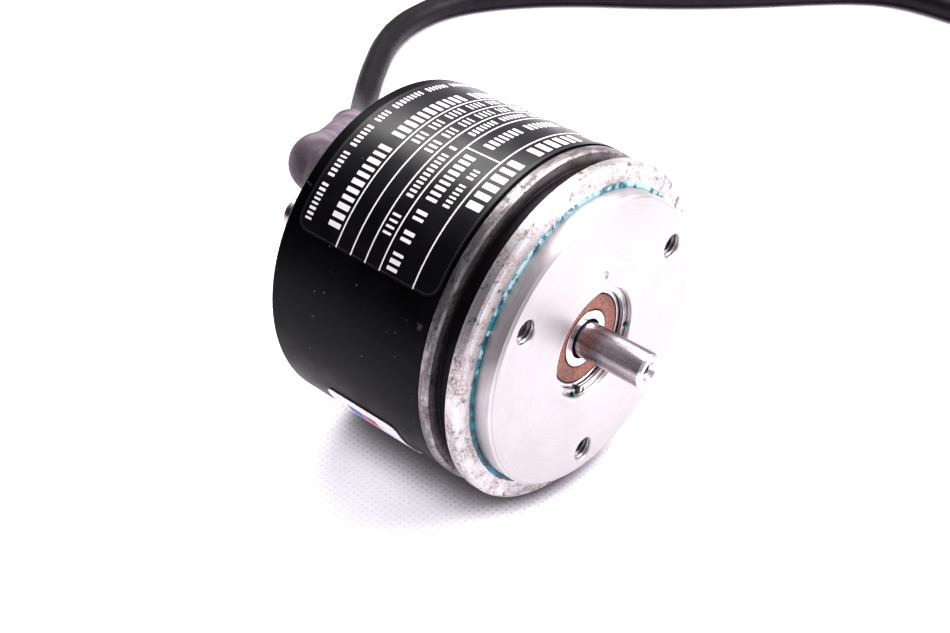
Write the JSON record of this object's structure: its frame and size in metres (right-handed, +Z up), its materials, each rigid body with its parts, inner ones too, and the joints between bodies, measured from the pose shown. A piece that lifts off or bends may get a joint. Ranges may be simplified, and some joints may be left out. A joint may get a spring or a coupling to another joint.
{
  "type": "rotary encoder",
  "caption": "Flanged incremental rotary encoder with a plain stub shaft, black round case, rear angled cable outlet and a cable ending in a round connector.",
  "frame": {"origin": "on the ground, under the middle of the encoder without its cable", "axes": "the shaft's axis runs along Y and the shaft points to -Y, +Z is up as it lies on its side"},
  "size_m": [0.243, 0.2271, 0.0581],
  "materials": {
    "worn_aluminium": "turned, scuffed and stained",
    "black_case": "satin black",
    "label_foil": "black satin foil with white printed bars",
    "white_foil": "white foil with plain colour bars",
    "polished_steel": "ground and polished",
    "spring_steel": "satin",
    "seal_brown": "matt, woven look",
    "brass": "stamped",
    "optical_glass": "polished",
    "board_green": "solder-masked laminate",
    "dark_plastic": "moulded",
    "nickel_plate": "nickel plated",
    "grey_rubber": "matt",
    "cable_sheath": "smooth sheath",
    "contact_gold": "black insert with gilt contacts"
  },
  "bodies": {
    "stator": {"flange": "worn_aluminium", "case": "black_case", "label": "label_foil", "sticker": "white_foil", "case_oring": "grey_rubber", "bearing_retaining_ring": "spring_steel", "front_bearing_outer_ring": "polished_steel", "front_bearing_seal": "seal_brown", "rear_bearing_outer_ring": "polished_steel", "wave_spring": "spring_steel", "scan_bracket": "dark_plastic", "lamp": "optical_glass", "condenser_lens": "optical_glass", "scanning_plate": "optical_glass", "photocell_board": "board_green", "circuit_board": "board_green", "wire_header": "dark_plastic", "inner_lead": "cable_sheath", "cable_outlet": "dark_plastic", "cable_boot": "grey_rubber", "cable_run": "cable_sheath", "cable_coil": "cable_sheath", "cable_tail": "cable_sheath", "connector_body": "nickel_plate", "connector_ring": "nickel_plate", "connector_insert": "contact_gold", "lower_post_1": "nickel_plate", "lower_post_2": "nickel_plate", "lower_post_3": "nickel_plate", "upper_post_1": "nickel_plate", "upper_post_2": "nickel_plate", "upper_post_3": "nickel_plate", "cover_screw_1": "spring_steel", "cover_screw_2": "spring_steel", "cover_screw_3": "spring_steel"},
    "rotor": {"shaft": "polished_steel", "front_bearing_inner_ring": "polished_steel", "rear_bearing_inner_ring": "polished_steel", "inner_spacer": "spring_steel", "shaft_circlip": "spring_steel", "disc_hub": "nickel_plate", "hub_screw": "spring_steel", "code_disc": "optical_glass", "disc_clamp": "nickel_plate"},
    "front_ball_set": {"front_bearing_cage": "brass", "front_bearing_ball_1": "polished_steel", "front_bearing_ball_2": "polished_steel", "front_bearing_ball_3": "polished_steel", "front_bearing_ball_4": "polished_steel", "front_bearing_ball_5": "polished_steel", "front_bearing_ball_6": "polished_steel", "front_bearing_ball_7": "polished_steel"},
    "rear_ball_set": {"rear_bearing_cage": "brass", "rear_bearing_ball_1": "polished_steel", "rear_bearing_ball_2": "polished_steel", "rear_bearing_ball_3": "polished_steel", "rear_bearing_ball_4": "polished_steel", "rear_bearing_ball_5": "polished_steel", "rear_bearing_ball_6": "polished_steel"}
  },
  "joints": [
    {"name": "shaft_turn", "type": "hinge", "parent": "stator", "child": "rotor", "pos_m": [0, -0.0195, 0.029], "axis": [0, 1, 0], "continuous": true},
    {"name": "front_cage_turn", "type": "hinge", "parent": "stator", "child": "front_ball_set", "pos_m": [0, -0.01445, 0.029], "axis": [0, 1, 0], "continuous": true},
    {"name": "rear_cage_turn", "type": "hinge", "parent": "stator", "child": "rear_ball_set", "pos_m": [0, -0.0024, 0.029], "axis": [0, 1, 0], "continuous": true}
  ],
  "couplings": [
    {"joint": "front_cage_turn", "follows": "shaft_turn", "ratio": 0.352},
    {"joint": "rear_cage_turn", "follows": "shaft_turn", "ratio": 0.3714}
  ]
}
